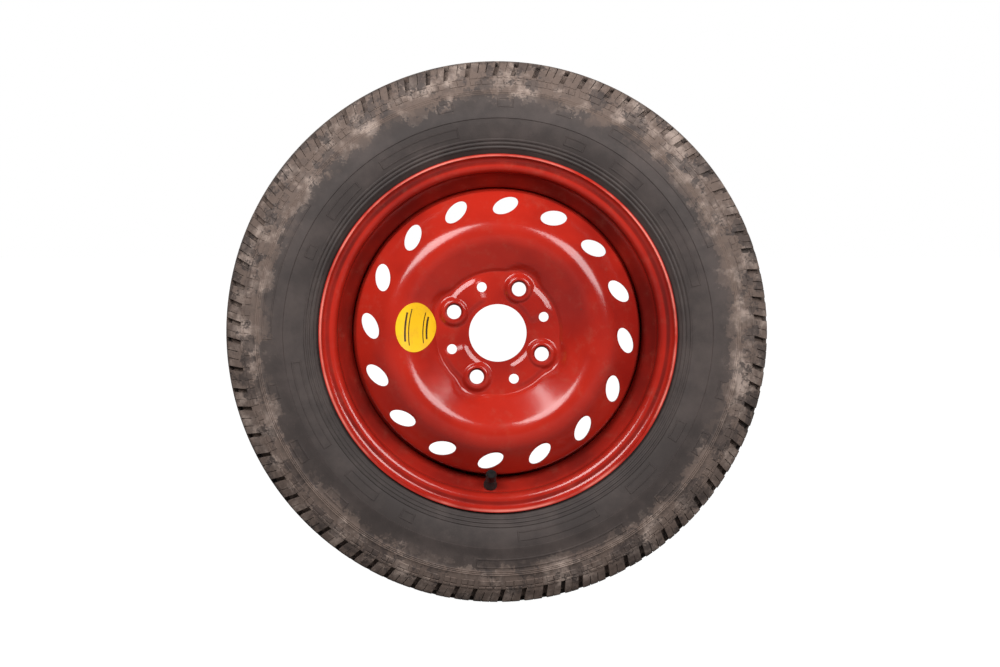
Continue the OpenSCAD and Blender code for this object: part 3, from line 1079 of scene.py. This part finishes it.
    def shape_bars(self, tyre: Object, faces: list[FacePlace]) -> None:
        """Raises plain framed bars on the side walls.

        Args:
            tyre: the tyre.
            faces: where its faces lie.
        """
        for row in self.bar_rows:
            bars = self.pick(faces, lambda face: row.holds(face) and self.on_side(face, row.low, row.high))
            for inset, depth in ((0.4, 0.5), (1.1, 0.0), (0.3, -0.4)):
                inset_faces(tyre, bars, inset, depth)

    def shape_tread(self, tyre: Object, faces: list[FacePlace]) -> None:
        """Sinks the notches and the fine cuts of the shoulders.

        Args:
            tyre: the tyre.
            faces: where its faces lie.
        """
        def notch(face: FacePlace) -> bool:
            """Returns whether a face is part of a notch between two blocks."""
            return face.stretch == 0 and self.on_shoulder(face, self.high_bricks[1])

        def cut(face: FacePlace) -> bool:
            """Returns whether a face is part of a fine cut in a block."""
            return face.stretch in self.cuts_of(face) and self.on_shoulder(face, 261.0)

        inset_faces(tyre, self.pick(faces, notch), 0.12, -self.notch_depth)
        inset_faces(tyre, self.pick(faces, cut), 0.06, -self.cut_depth)


@dataclass(frozen=True)
class ValvePlace:
    """Where the valve stands: square on the street side slope of the rim's well."""

    radius: float = 155.231
    out: float = 33.126
    degrees: float = 267.3
    axis: tuple[float, float, float] = (0.0309196, -0.7544325, 0.6556489)

    def matrix(self) -> Matrix:
        """Works out the turn and place that put a piece drawn along +Z there.

        Returns:
            The matrix, in metres.
        """
        foot = from_wheel(self.radius * MM, self.degrees, self.out * MM)
        turn = Vector((0, 0, 1)).rotation_difference(Vector(self.axis).normalized())
        return Matrix.Translation(foot) @ turn.to_matrix().to_4x4()


@dataclass
class Rim:
    """The rim: one rolled strip of steel with curled flanges, a well and a hole for the valve."""

    seat: float = 164.7
    half_width: float = 50.8
    heel: float = 5.0
    hump: Corner = (163.49, 37.0, 4.0)
    well: float = 149.7
    well_ends: Point = (-15.0, 25.0)
    thickness: float = 2.5
    curl: float = 9.0
    curl_centre: float = 171.0
    steps: int = 288
    hole: float = 11.5

    def path(self) -> list[Point]:
        """Draws the tyre side of the strip.

        Returns:
            Its points, from the far flange to the street side.
        """
        near = []
        for degrees in range(180, 83, -12):
            turn = math.radians(degrees)
            near.append((self.curl_centre + self.curl * math.sin(turn),
                         self.half_width + self.curl + self.curl * math.cos(turn)))
        far = mirrored(near)
        radius, out, rounding = self.hump
        body = [(self.seat, -self.half_width, self.heel), (radius, -out, rounding),
                *((self.well, end, self.heel) for end in self.well_ends),
                (radius, out, rounding), (self.seat, self.half_width, self.heel)]
        middle = rounded([(*far[-1], 0.0), *body, (*near[0], 0.0)], 10.0)
        return far[:-1] + middle + near[1:]

    def build(self) -> Object:
        """Builds the rim.

        Returns:
            The finished piece.
        """
        rim = turned("rolled_rim", strip_outline(self.path(), self.thickness), self.steps)
        deselect()
        bpy.ops.mesh.primitive_cylinder_add(vertices=48, radius=self.hole / 2 * MM, depth=24 * MM)
        drill = bpy.context.object
        drill.data.transform(ValvePlace().matrix())
        cut_away(rim, drill)
        smooth(rim, 40.0)
        return rim


@dataclass
class Disc:
    """The pressed disc: hub pad, bolt bosses, raised stretches, crown, slanted vents and weld flange."""

    thickness: float = 3.5
    pad: float = 44.5
    pressed_within: float = 84.0
    fine_length: float = 0.95
    plain_length: float = 4.0
    bore: float = 58.1
    pitch_circle: float = 49.0
    bolt_start: float = 64.3
    bolts: int = 4
    hole: float = 14.0
    mouth: float = 18.3
    cone: float = 60.0
    boss_top: float = 4.2
    boss_radius: float = 10.4
    boss_foot: float = 16.6
    plateau: float = 1.9
    plateau_circle: float = 46.5
    plateau_half: float = 10.5
    plateau_fade: Point = (37.0, 50.0)
    plateau_start: float = 20.0
    socket: float = 20.5
    locating: float = 10.0
    vent_circle: float = 128.5
    vent_size: Point = (14.9, 27.2)
    vent_slant: float = 27.0
    vent_start: float = 19.15
    vents: int = 16
    steps: int = 320
    punch_out: float = 50.0
    punch_length: float = 80.0
    seam: Point = (147.15, -3.0)
    beads: int = 8
    bead_turn: float = 24.0
    bead_section: tuple[Point, ...] = (
        (147.15, -5.0), (146.2, -4.6), (145.0, -3.2), (144.6, -1.9), (145.2, -1.2), (147.15, -1.0))

    def profile(self) -> list[Point]:
        """Draws the street face, with fine stretches on the pad.

        Returns:
            Its points, from the bore to the weld flange.
        """
        flange = self.seam[0]
        path = [(24.5, self.pad, 0), *DISC_FACE, (143.45, 24, 6), (flange, 17, 6), (flange, -2, 0)]
        path = rounded(path, 5.0)
        points = [path[0]]
        for (x0, y0), (x1, y1) in zip(path, path[1:]):
            size = self.fine_length if max(x0, x1) < self.pressed_within else self.plain_length
            parts = max(1, round(math.hypot(x1 - x0, y1 - y0) / size))
            points += [(x0 + (x1 - x0) * i / parts, y0 + (y1 - y0) * i / parts) for i in range(1, parts + 1)]
        return points

    def bolt_distance(self, radius: float, degrees: float) -> float:
        """Measures how far a point seen along the axle is from the nearest bolt.

        Args:
            radius: distance from the axle.
            degrees: angle seen from the street.

        Returns:
            The distance.
        """
        share = FULL_TURN / self.bolts
        x, y = polar(radius, (degrees - self.bolt_start + share / 2) % share - share / 2)
        return math.hypot(x - self.pitch_circle, y)

    def plateau_share(self, radius: float, degrees: float) -> float:
        """Shapes the raised stretches, each of which starts round a bolt and fades out.

        Args:
            radius: distance from the axle.
            degrees: angle seen from the street.

        Returns:
            1 on a raised stretch, 0 off it and a smooth slope between.
        """
        start = self.plateau_start
        turn = (self.bolt_start - degrees + start) % (FULL_TURN / self.bolts) - start
        x, y = (radius, 0.0) if turn >= 0 else polar(radius, turn)
        away = math.hypot(x - self.plateau_circle, y)
        fade = 1 - step_up(turn, *self.plateau_fade)
        return fade * (1 - step_up(away, self.plateau_half - 2.2, self.plateau_half + 3.8))

    def level(self, radius: float, degrees: float, out: float) -> float:
        """Adds the pressed shapes to the street face.

        Args:
            radius: distance from the axle.
            degrees: angle seen from the street.
            out: how far out the plain turned face stands.

        Returns:
            How far out the pressed face stands.
        """
        if radius > self.pressed_within:
            return out
        near = self.bolt_distance(radius, degrees)
        clear = 1 - step_up(near, self.socket - 2.5, self.socket + 4.5)
        boss = self.boss_top * (1 - step_up(near, self.boss_radius, self.boss_foot))
        raised = self.plateau * self.plateau_share(radius, degrees)
        return max(out + (self.pad - out) * clear, self.pad + max(boss, raised))

    def build(self) -> Object:
        """Builds the disc.

        Returns:
            The finished piece.
        """
        disc = turned("pressed_disc", self.profile(), self.steps, closed=False)
        for vertex in disc.data.vertices:
            radius, degrees, out = wheel_place(vertex.co)
            vertex.co.y = -self.level(radius / MM, degrees, out / MM) * MM
        if sum(1 if face.normal.y < 0 else -1 for face in disc.data.polygons) < 0:
            flip(disc)
        wall = disc.modifiers.new("wall", "SOLIDIFY")
        wall.thickness, wall.offset, wall.use_even_offset = self.thickness * MM, -1.0, True
        apply_modifiers(disc)
        cut_away(disc, self.cutters())
        smooth(disc, 58.0)
        return disc

    def cutters(self) -> Object:
        """Builds everything that is punched out of the disc.

        Returns:
            The cutters as one object.
        """
        pieces = [self.round_cutter(0.0, 0.0, self.bore / 2, 128)]
        share = FULL_TURN / self.bolts
        for i in range(self.bolts):
            angle = self.bolt_start + share * i
            pieces.append(self.round_cutter(self.pitch_circle, angle, self.hole / 2, 48))
            pieces.append(self.round_cutter(self.pitch_circle, angle - share / 2, self.locating / 2, 40))
        for i in range(self.vents):
            pieces.append(self.vent_cutter(self.vent_start + FULL_TURN / self.vents * i))
        return joined(pieces, "punch")

    def round_cutter(self, radius: float, degrees: float, size: float, sides: int) -> Object:
        """Builds a cylinder along the axle, with a seat's cone at its mouth where it is a bolt's.

        Args:
            radius: the hole's distance from the axle.
            degrees: its angle seen from the street.
            size: its own radius.
            sides: how many sides the cylinder has.

        Returns:
            The cutter.
        """
        deselect()
        bpy.ops.mesh.primitive_cylinder_add(vertices=sides, radius=size * MM, depth=self.punch_length * MM)
        cutter = bpy.context.object
        if size == self.hole / 2:
            self.open_seat(cutter)
        cutter.data.transform(Matrix.Rotation(math.radians(90), 4, "X"))
        place = from_wheel(radius * MM, degrees, self.punch_out * MM)
        cutter.data.transform(Matrix.Translation(place))
        return cutter

    def open_seat(self, cutter: Object) -> None:
        """Widens the street end of a bolt's cutter into its cone.

        Args:
            cutter: the cutter, still along Z.
        """
        slope = math.tan(math.radians(self.cone / 2))
        seat = (self.mouth - self.hole) / 2 / slope
        foot = self.pad + self.boss_top - seat - self.punch_out
        with editing(cutter):
            bpy.ops.mesh.select_all(action="SELECT")
            bpy.ops.mesh.bisect(plane_co=(0, 0, foot * MM), plane_no=(0, 0, 1))
            bpy.ops.mesh.select_all(action="DESELECT")
        top = foot + 12
        grow = (self.hole / 2 + (top - foot) * slope) / (self.hole / 2)
        for vertex in cutter.data.vertices:
            if vertex.co.z > (foot + 1) * MM:
                vertex.co = (vertex.co.x * grow, vertex.co.y * grow, top * MM)

    def vent_cutter(self, degrees: float) -> Object:
        """Builds an oval prism along the axle where a vent is punched.

        Args:
            degrees: the vent's angle seen from the street.

        Returns:
            The cutter.
        """
        deselect()
        bpy.ops.mesh.primitive_cylinder_add(vertices=48, radius=1.0, depth=self.punch_length * MM)
        cutter = bpy.context.object
        for vertex in cutter.data.vertices:
            vertex.co.x *= self.vent_size[0] / 2 * MM
            vertex.co.y *= self.vent_size[1] / 2 * MM
        for move in (Matrix.Rotation(math.radians(self.vent_slant), 4, "Z"),
                     Matrix.Translation((self.vent_circle * MM, 0, 0)),
                     Matrix.Rotation(math.radians(degrees), 4, "Z"),
                     Matrix.Rotation(math.radians(90), 4, "X"),
                     Matrix.Translation((0, -self.punch_out * MM, 0))):
            cutter.data.transform(move)
        return cutter

    def weld_beads(self) -> Object:
        """Builds the weld beads between the disc's flange and the rim's well, as one piece."""
        beads = [self.one_bead(FULL_TURN / self.beads * index) for index in range(self.beads)]
        return joined(beads, "weld_beads")

    def one_bead(self, start: float) -> Object:
        """Builds one weld bead, a rippled stretch of a turn with closed ends.

        Args:
            start: the angle at which it starts.

        Returns:
            The bead.
        """
        bead = turned("weld_bead", list(self.bead_section), 36, degrees=self.bead_turn)
        middle = self.seam[0]
        for vertex in bead.data.vertices:
            radius, degrees, out = wheel_place(vertex.co)
            swell = 1 + 0.12 * math.sin(math.radians(degrees * 60))
            radius = (middle + (radius / MM - middle) * swell) * MM
            vertex.co = from_wheel(radius, degrees + start, out)
        return bead


@dataclass
class Label:
    """The round sticker on the disc's inner slope, with a few plain printed bars."""

    diameter: float = 49.0
    degrees: float = 175.7
    foot: float = 63.0
    up_slope: float = 24.0
    thickness: float = 0.2
    lift: float = 0.06
    ink_thickness: float = 0.04
    ink_lift: float = 0.27
    slope: float = math.atan2(27.66, 41.0)
    bars: tuple[Band, ...] = (
        (0.0, 13.0, 26.0, 2.2), (0.0, 8.6, 34.0, 1.2), (0.0, -8.6, 34.0, 1.2), (0.0, -13.0, 26.0, 2.2))
    face: list[Point] = field(init=False)

    def __post_init__(self) -> None:
        """Draws the disc's plain face, which carries the sticker."""
        self.face = rounded([(40, 44.5, 0), *DISC_FACE[:-1], (*DISC_FACE[-1][:2], 0)], 1.0)

    def on_slope(self, across: float, along: float, lift: float) -> Vector:
        """Finds a point of the slope.

        Args:
            across: distance round the wheel from the label's middle, in millimetres.
            along: distance up the slope from it.
            lift: height over the steel.

        Returns:
            The point, in metres.
        """
        run = self.up_slope + along
        radius = self.foot + run * math.cos(self.slope) - lift * math.sin(self.slope)
        out = out_at(self.face, radius) + lift / math.cos(self.slope)
        turn = math.degrees(across / (self.foot + self.up_slope * math.cos(self.slope)))
        return from_wheel(radius * MM, self.degrees - turn, out * MM)

    def lay(self, obj: Object, lift: float, thickness: float) -> None:
        """Lays a flat piece on the slope and gives it a thickness.

        Args:
            obj: the piece, drawn in X and Y in millimetres.
            lift: its height over the steel.
            thickness: its thickness.
        """
        for vertex in obj.data.vertices:
            vertex.co = self.on_slope(vertex.co.x, vertex.co.y, lift)
        bpy.context.view_layer.update()
        if sum(face.normal.y for face in obj.data.polygons) > 0:
            flip(obj)
        skin = obj.modifiers.new("skin", "SOLIDIFY")
        skin.thickness, skin.offset = thickness * MM, 1.0
        apply_modifiers(obj)

    def build_paper(self) -> Object:
        """Builds the sticker's paper.

        Returns:
            The finished piece.
        """
        deselect()
        bpy.ops.mesh.primitive_circle_add(vertices=96, radius=self.diameter / 2, fill_type="NGON")
        paper = bpy.context.object
        paper.name = "sticker_paper"
        with editing(paper):
            for _ in range(8):
                bpy.ops.mesh.inset(thickness=self.diameter / 20)
            bpy.ops.mesh.poke()
        self.lay(paper, self.lift, self.thickness)
        smooth(paper, 40.0)
        return paper

    def build_print(self) -> Object:
        """Builds the printed bars.

        Returns:
            All the bars as one piece.
        """
        bars = []
        for x, y, length, width in self.bars:
            deselect()
            bpy.ops.mesh.primitive_plane_add(size=1.0)
            bar = bpy.context.object
            bar.data.transform(Matrix.Diagonal((length, width, 1.0, 1.0)))
            bar.data.transform(Matrix.Translation((x, y, 0)))
            with editing(bar):
                bpy.ops.mesh.subdivide(number_cuts=15)
            bars.append(bar)
        ink = joined(bars, "sticker_print")
        self.lay(ink, self.ink_lift, self.ink_thickness)
        return ink


@dataclass
class Studio:
    """The pale floor and backdrop, two soft lamps and the camera."""

    floor_height: float = -0.2755
    floor_size: float = 80.0
    floor_colour: Colour = (0.12, 0.12, 0.12, 1.0)
    floor_gloss: float = 0.1
    world: float = 0.075
    world_gloss: float = 0.6
    world_gloss_least: float = 0.03
    world_rise: Point = (-0.1, 0.35)
    lamp_powers: tuple[float, float] = (20.0, 17.0)
    lamp_turns: tuple[float, float] = (125.0, 40.0)
    lamp_tilt: float = 41.0
    lamp_distance: float = 1.5
    lamp_size: float = 0.74
    lens: float = 87.7
    sensor: float = 36.0
    distance: float = 2.5
    left: float = 1.9
    above: float = 2.2
    shift: Point = (0.0036, -0.0022)

    def backdrop_finish(self) -> Material:
        """Makes the finish of the floor: plain white to the camera, dim in gloss and as a light.

        Returns:
            The material.
        """
        kit = Finish("pale_studio")
        path = kit.add("ShaderNodeLightPath").outputs
        seen = kit.maths("MAXIMUM", path["Is Camera Ray"], path["Is Transmission Ray"])
        glow = kit.plus(seen, kit.times(path["Is Glossy Ray"], self.floor_gloss))
        return kit.shade(
            Base_Color=self.floor_colour, Roughness=0.8, Emission_Color=WHITE, Emission_Strength=glow)

    def build_floor(self) -> None:
        """Builds the wide flat floor that the wheel stands on, as part of the stage."""
        deselect()
        place = (0, 0, self.floor_height)
        bpy.ops.mesh.primitive_plane_add(size=self.floor_size, location=place)
        floor = bpy.context.object
        floor.name = "studio_floor"
        floor.data.transform(Matrix.Translation(place))
        floor.location = (0, 0, 0)
        floor.visible_shadow = False
        floor.data.materials.append(self.backdrop_finish())

    def set_world(self) -> None:
        """Sets the world: white to the camera, dim as a light, brighter behind the wheel in gloss."""
        world = bpy.data.worlds.new("studio_air")
        world.use_nodes = True
        bpy.context.scene.world = world
        kit = NodeKit(world.node_tree)
        path = kit.add("ShaderNodeLightPath").outputs
        split = kit.add("ShaderNodeSeparateXYZ")
        kit.feed(split.inputs[0], kit.add("ShaderNodeTexCoord").outputs["Generated"])
        behind = kit.ramp(split.outputs["Y"], *self.world_rise)
        in_gloss = kit.plus(kit.times(behind, self.world_gloss), self.world_gloss_least)
        glossy = path["Is Glossy Ray"]
        strength = kit.plus(kit.times(kit.less(1.0, glossy), self.world), kit.times(glossy, in_gloss))
        seen = kit.maths("MAXIMUM", path["Is Camera Ray"], path["Is Transmission Ray"])
        total = kit.plus(kit.times(strength, kit.less(1.0, seen)), seen)
        kit.feed_all(kit.tree.nodes["Background"], {"Color": WHITE, "Strength": total})

    @staticmethod
    def add_to_scene(name: str, data: bpy.types.ID, place: Vector) -> Object:
        """Adds a lamp or a camera that faces the wheel's middle.

        Args:
            name: its name.
            data: the lamp's or camera's own data.
            place: where it stands, in metres.

        Returns:
            The object.
        """
        obj = bpy.data.objects.new(name, data)
        bpy.context.scene.collection.objects.link(obj)
        obj.location = place
        obj.rotation_mode = "QUATERNION"
        obj.rotation_quaternion = place.to_track_quat("Z", "Y")
        return obj

    def add_lamps(self) -> None:
        """Adds the soft lamps up to the left and up to the right of the camera."""
        tilt = math.radians(self.lamp_tilt)
        names = ("softbox_left", "softbox_right")
        for name, turn, power in zip(names, self.lamp_turns, self.lamp_powers):
            light = bpy.data.lights.new(name, "AREA")
            light.shape, light.size, light.energy = "SQUARE", self.lamp_size, power
            x, z = polar(self.lamp_distance * math.sin(tilt), turn)
            self.add_to_scene(name, light, Vector((x, -self.lamp_distance * math.cos(tilt), z)))

    def add_camera(self) -> None:
        """Adds the camera a little left of the axle and above it."""
        data = bpy.data.cameras.new("photo_camera")
        data.lens, data.sensor_width = self.lens, self.sensor
        data.shift_x, data.shift_y = self.shift
        turn, rise = math.radians(self.left), math.radians(self.above)
        place = Vector((-math.sin(turn) * math.cos(rise), -math.cos(turn) * math.cos(rise), math.sin(rise)))
        camera = self.add_to_scene("photo_camera", data, place * self.distance)
        bpy.context.scene.camera = camera

    def build(self) -> None:
        """Builds the stage, the lamps and the camera."""
        self.build_floor()
        self.set_world()
        self.add_lamps()
        self.add_camera()
        bpy.context.scene.view_settings.view_transform = "Standard"


def dress(obj: Object, finish: Material) -> None:
    """Gives a piece one finish in place of any that it has."""
    obj.data.materials.clear()
    obj.data.materials.append(finish)


def place_piece(obj: Object, finish: Material, slot: str, *nodes: str) -> None:
    """Gives a piece its finish and body, and hides the CAD nodes that it stands for.

    Args:
        obj: the piece.
        finish: its material.
        slot: not used.
        nodes: the CAD nodes that it stands for.
    """
    dress(obj, finish)
    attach(obj, WHEEL_BODY)
    if nodes:
        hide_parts(*nodes)
    log.info("%s: %d faces", obj.name, len(obj.data.polygons))


def squeeze_spring(frame: dict) -> None:
    """Finds the spring's end along the pin's press axis and gives the spring a mesh of its own.

    Args:
        frame: the loaded frame.
    """
    spring = frame["nodes"]["core_spring"]
    press = next(joint for joint in frame["joints"] if joint["name"] == "core_pin_press")
    axis = Vector(press["axis"]).normalized()
    reach = [vertex.co.dot(axis) for vertex in spring.data.vertices]
    foot = spring.data.vertices[reach.index(max(reach))].co
    tuple(foot)
    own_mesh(spring)


def main() -> None:
    """Builds the whole scene around the frame."""
    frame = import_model()
    groups = SharedGroups()
    red = GlossRed().build(groups)
    disc, label = Disc(), Label()
    place_piece(Tyre().build(), DustyRubber().build(groups), "tyre_rubber", "tyre")
    place_piece(Rim().build(), red, "red_paint", "rim")
    place_piece(disc.build(), red, "red_paint", "wheel_disc")
    place_piece(disc.weld_beads(), red, "red_paint")
    place_piece(label.build_paper(), LabelPaper().build(groups), "label_paper", "round_label")
    place_piece(label.build_print(), LABEL_INK.build(), "label_paper")
    for name, finish in SMALL_FINISHES.items():
        dress(frame["nodes"][name], finish.build())
    squeeze_spring(frame)
    Studio().build()


if __name__ == "__main__":
    logging.basicConfig(level=logging.INFO)
    main()
